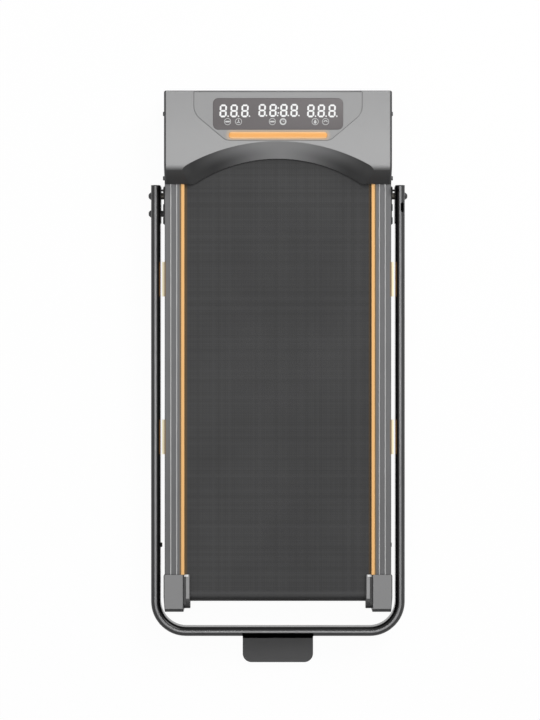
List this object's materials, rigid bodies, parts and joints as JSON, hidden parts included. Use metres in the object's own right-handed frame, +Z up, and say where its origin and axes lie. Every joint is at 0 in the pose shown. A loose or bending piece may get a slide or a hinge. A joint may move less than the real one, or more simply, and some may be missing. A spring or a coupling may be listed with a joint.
{
  "type": "walking pad",
  "caption": "Flat motorised walking pad with a belt deck, motor hood with a lit display, and a U-shaped tube handrail with phone holder that folds flat round the deck.",
  "frame": {"origin": "on the floor under the middle of the pad's whole outline, handrail folded", "axes": "+X to the walker's right, +Y to the front (motor hood), +Z up"},
  "size_m": [0.5564, 1.225, 0.114],
  "materials": {
    "hood_plastic": "fine-grained moulded",
    "console_plastic": "fine-grained moulded",
    "display_window": "smoked gloss",
    "light_bar_plastic": "translucent",
    "trim_orange": "satin",
    "belt_pvc": "woven emboss",
    "rail_aluminium": "anodised, lengthwise brushed",
    "cap_plastic": "fine-grained moulded",
    "guard_plastic": "fine-grained moulded",
    "tube_black": "semi-gloss powder coat",
    "holder_plastic": "fine-grained moulded",
    "black_plastic": "moulded",
    "pad_rubber": "ribbed",
    "foot_rubber": "moulded",
    "wheel_rubber": "moulded",
    "frame_steel": "powder coat",
    "bolt_steel": "black zinc",
    "bright_steel": "ground",
    "bronze_bush": "sintered",
    "motor_steel": "enamel",
    "heatsink": "extruded",
    "deck_wood": "waxed board",
    "board_green": "lacquered board",
    "led_white": "diffuse",
    "switch_red": "polished"
  },
  "bodies": {
    "chassis": {"left_frame_tube": "frame_steel", "right_frame_tube": "frame_steel", "cross_tubes": "frame_steel", "motor_tray": "frame_steel", "motor_cradle": "frame_steel", "rubber_feet": "foot_rubber", "deck_cushions": "foot_rubber", "deck_board": "deck_wood", "walking_belt": "belt_pvc", "front_roller_axle": "bright_steel", "rear_roller_axle": "bright_steel", "left_side_rail": "rail_aluminium", "right_side_rail": "rail_aluminium", "trim_strips": "trim_orange", "side_accents": "trim_orange", "left_end_cap": "cap_plastic", "right_end_cap": "cap_plastic", "roller_guards": "guard_plastic", "motor_hood": "hood_plastic", "console_panel": "console_plastic", "display_lens": "display_window", "light_bar": "light_bar_plastic", "display_board": "board_green", "led_modules": "led_white", "motor_body": "motor_steel", "controller_box": "heatsink", "service_panel": "black_plastic", "power_inlet": "black_plastic", "switch_housing": "black_plastic", "breaker_body": "black_plastic", "hinge_brackets": "tube_black", "drive_belt": "pad_rubber", "rail_bumper": "pad_rubber", "adjuster_bolts": "bolt_steel", "wheel_axles": "bolt_steel", "pivot_bolts": "bolt_steel", "bracket_bolts": "bolt_steel", "hood_screws": "bolt_steel"},
    "handrail": {"handrail_tube": "tube_black", "handrail_end_plugs": "black_plastic", "hinge_plates": "tube_black", "pivot_bushes": "bronze_bush", "stop_bolt": "bolt_steel", "phone_holder": "holder_plastic", "phone_pad": "pad_rubber", "holder_screws": "bolt_steel", "tube_bumper": "pad_rubber"},
    "front_roller": {"front_roller_tube": "bright_steel", "front_roller_bearings": "bright_steel", "roller_pulley": "black_plastic"},
    "rear_roller": {"rear_roller_tube": "bright_steel", "rear_roller_bearings": "bright_steel"},
    "motor_rotor": {"motor_shaft": "bright_steel", "motor_pulley": "bright_steel"},
    "left_transport_wheel": {"left_wheel": "wheel_rubber"},
    "right_transport_wheel": {"right_wheel": "wheel_rubber"},
    "rocker": {"power_rocker": "switch_red"},
    "reset_button": {"breaker_button": "switch_red"}
  },
  "joints": [
    {"name": "handrail_fold", "type": "hinge", "parent": "chassis", "child": "handrail", "pos_m": [0, 0.393, 0.045], "axis": [-1, 0, 0], "range_deg": [0, 90]},
    {"name": "front_roller_spin", "type": "hinge", "parent": "chassis", "child": "front_roller", "pos_m": [0, 0.4835, 0.048], "axis": [1, 0, 0], "continuous": true},
    {"name": "rear_roller_spin", "type": "hinge", "parent": "chassis", "child": "rear_roller", "pos_m": [0, -0.4531, 0.048], "axis": [1, 0, 0], "continuous": true},
    {"name": "motor_spin", "type": "hinge", "parent": "chassis", "child": "motor_rotor", "pos_m": [0, 0.5565, 0.06], "axis": [1, 0, 0], "continuous": true},
    {"name": "left_wheel_spin", "type": "hinge", "parent": "chassis", "child": "left_transport_wheel", "pos_m": [-0.181, 0.5755, 0.029], "axis": [1, 0, 0], "continuous": true},
    {"name": "right_wheel_spin", "type": "hinge", "parent": "chassis", "child": "right_transport_wheel", "pos_m": [0.181, 0.5755, 0.029], "axis": [1, 0, 0], "continuous": true},
    {"name": "power_switch", "type": "hinge", "parent": "chassis", "child": "rocker", "pos_m": [-0.091, 0.608, 0.048], "axis": [1, 0, 0], "range_deg": [-16, 0]},
    {"name": "breaker_reset", "type": "slide", "parent": "chassis", "child": "reset_button", "axis": [0, -1, 0], "range_m": [0, 0.001], "stiffness_N_per_m": 400}
  ],
  "couplings": [
    {"joint": "rear_roller_spin", "follows": "front_roller_spin", "ratio": 1},
    {"joint": "motor_spin", "follows": "front_roller_spin", "ratio": 2.0909}
  ]
}
